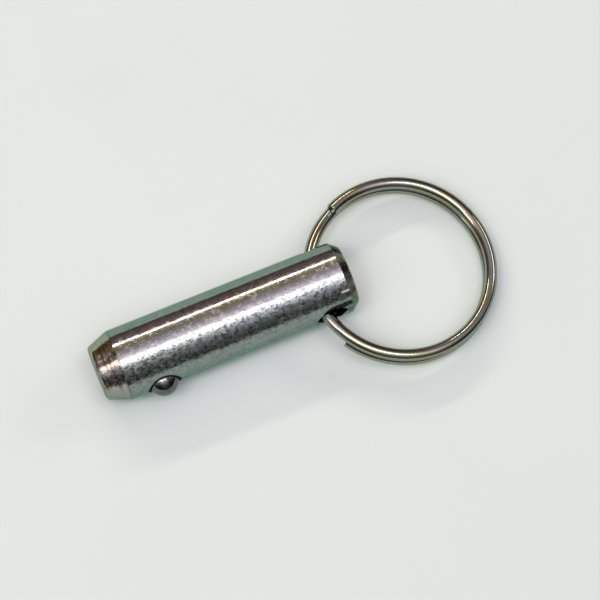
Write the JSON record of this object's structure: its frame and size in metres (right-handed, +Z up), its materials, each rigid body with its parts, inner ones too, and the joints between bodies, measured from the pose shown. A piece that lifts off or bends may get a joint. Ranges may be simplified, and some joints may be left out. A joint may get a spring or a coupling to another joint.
{
  "type": "ball lock pin",
  "caption": "Quick-release ball lock pin: a steel shank with a spring-loaded detent ball near its chamfered tip and a split pull ring through a cross hole near its rear.",
  "frame": {"origin": "on the shank's axis, halfway between the ball and the ring hole, which is the middle of the shank's grip", "axes": "+X along the shank from the tip to the ring, +Z up as it lies on a table, and the ball stands out towards -Y"},
  "size_m": [0.0544, 0.0253, 0.0094],
  "materials": {
    "shank_steel": "satin",
    "ball_steel": "polished",
    "spring_steel": "satin",
    "ring_steel": "polished"
  },
  "bodies": {
    "pin": {"pin_body": "shank_steel", "detent_spring": "spring_steel"},
    "ball": {"detent_ball": "ball_steel"},
    "ring": {"split_ring": "ring_steel"}
  },
  "joints": [
    {"name": "ball_slide", "type": "slide", "parent": "pin", "child": "ball", "axis": [0, 1, 0], "range_m": [0, 0.0015], "stiffness_N_per_m": 3000, "deforming": ["detent_spring"]},
    {"name": "ring_swing", "type": "hinge", "parent": "pin", "child": "ring", "pos_m": [0.01172, 0, 0], "axis": [0, -1, 0], "range_deg": [-154, 170]}
  ]
}
